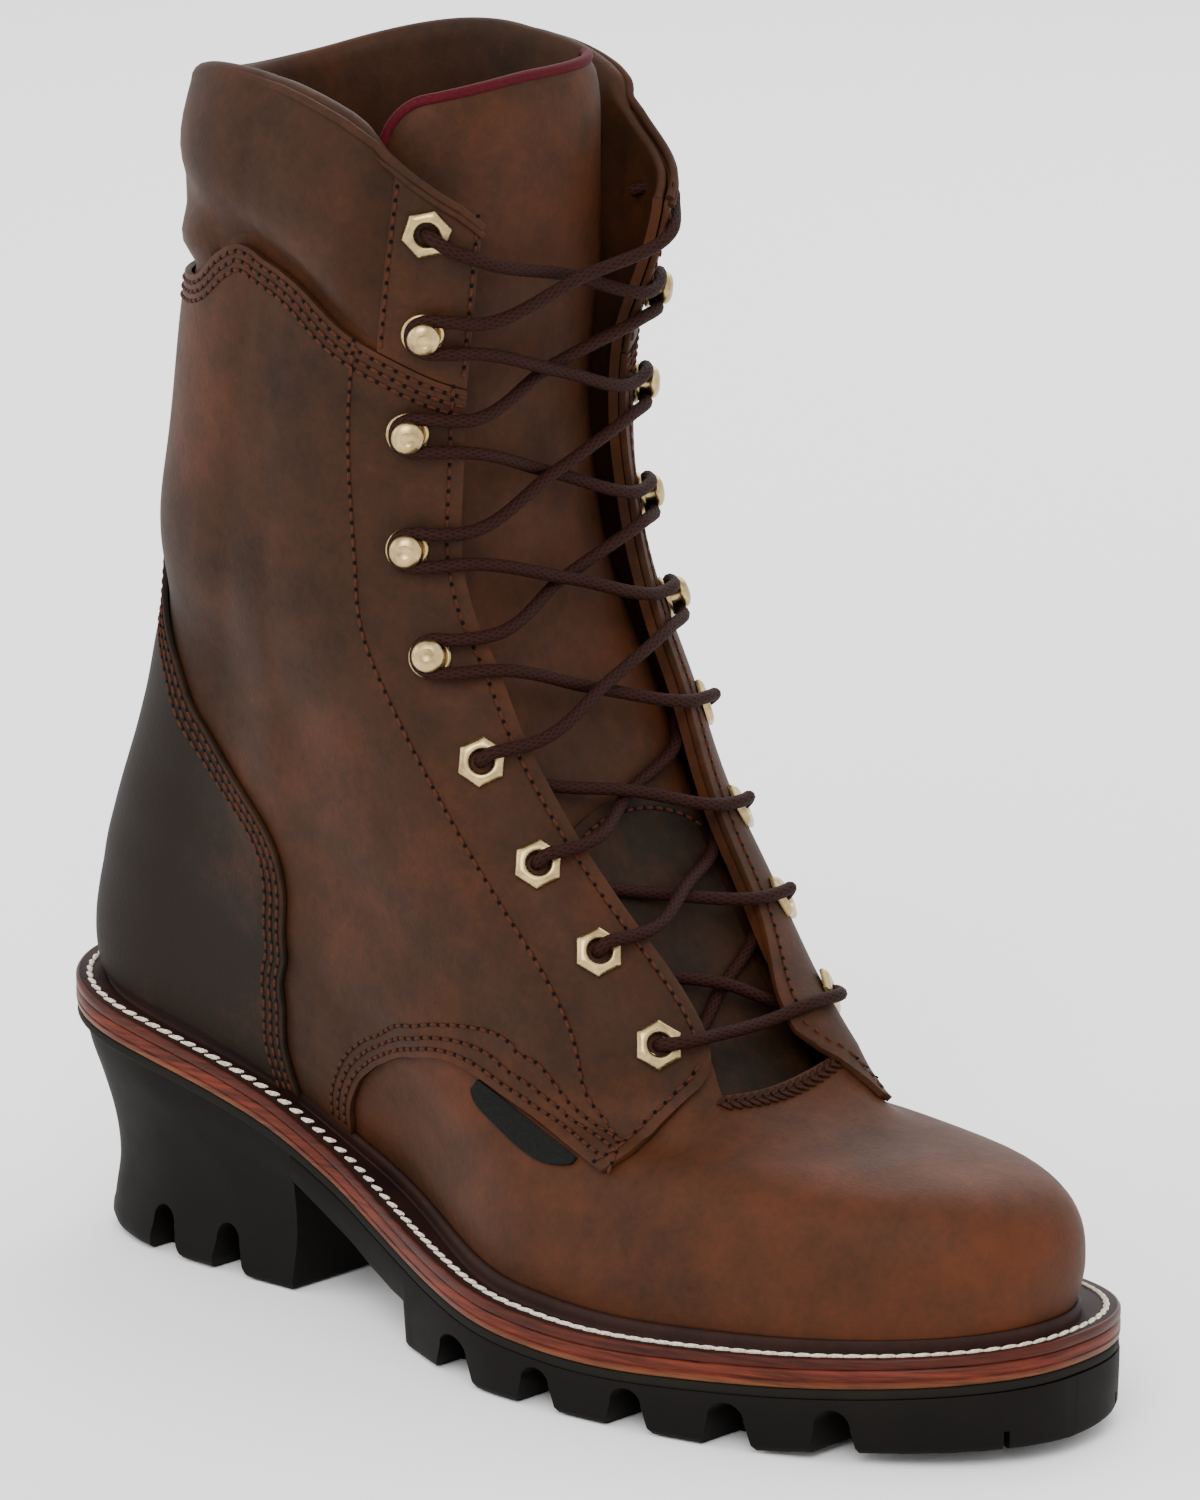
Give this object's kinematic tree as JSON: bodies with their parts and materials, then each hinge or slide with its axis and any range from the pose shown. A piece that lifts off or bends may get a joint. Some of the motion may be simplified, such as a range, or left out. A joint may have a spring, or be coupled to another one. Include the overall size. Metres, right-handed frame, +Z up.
{
  "type": "logger boot",
  "caption": "Tall lace-up leather work boot with padded collar, brass eyelets and hooks, high block heel and lugged rubber sole; right foot.",
  "frame": {"origin": "on the ground in the middle of the heel's seat, on the sole's length line", "axes": "+X toward the toe, +Y toward the medial side, +Z up"},
  "size_m": [0.306, 0.1104, 0.3059],
  "materials": {
    "leather": "waxed, scuffed",
    "dark_leather": "matt",
    "midsole": "burnished edge",
    "rubber": "matt",
    "slip": "matt",
    "lining": "matt",
    "brass": "worn",
    "lace": "woven",
    "tab": "woven"
  },
  "bodies": {
    "root": {"upper": "leather", "quarter_lateral": "leather", "quarter_medial": "leather", "counter": "leather", "facing_lateral": "leather", "facing_medial": "leather", "side_tab": "tab", "tongue": "leather", "tongue_patch": "dark_leather", "insole": "lining", "welt": "dark_leather", "midsole": "midsole", "slip_sole": "slip", "outsole": "rubber", "heel": "rubber", "lace_bar": "lace", "eyelet_1_lateral": "brass", "eyelet_1_medial": "brass", "hook_2_lateral": "brass", "hook_2_medial": "brass", "hook_3_lateral": "brass", "hook_3_medial": "brass", "hook_4_lateral": "brass", "hook_4_medial": "brass", "hook_5_lateral": "brass", "hook_5_medial": "brass", "eyelet_6_lateral": "brass", "eyelet_6_medial": "brass", "eyelet_7_lateral": "brass", "eyelet_7_medial": "brass", "eyelet_8_lateral": "brass", "eyelet_8_medial": "brass", "eyelet_9_lateral": "brass", "eyelet_9_medial": "brass", "lace_crossing_1": "lace", "lace_crossing_2": "lace", "lace_crossing_3": "lace", "lace_crossing_4": "lace", "lace_crossing_5": "lace", "lace_crossing_6": "lace", "lace_crossing_7": "lace"}
  },
  "joints": []
}
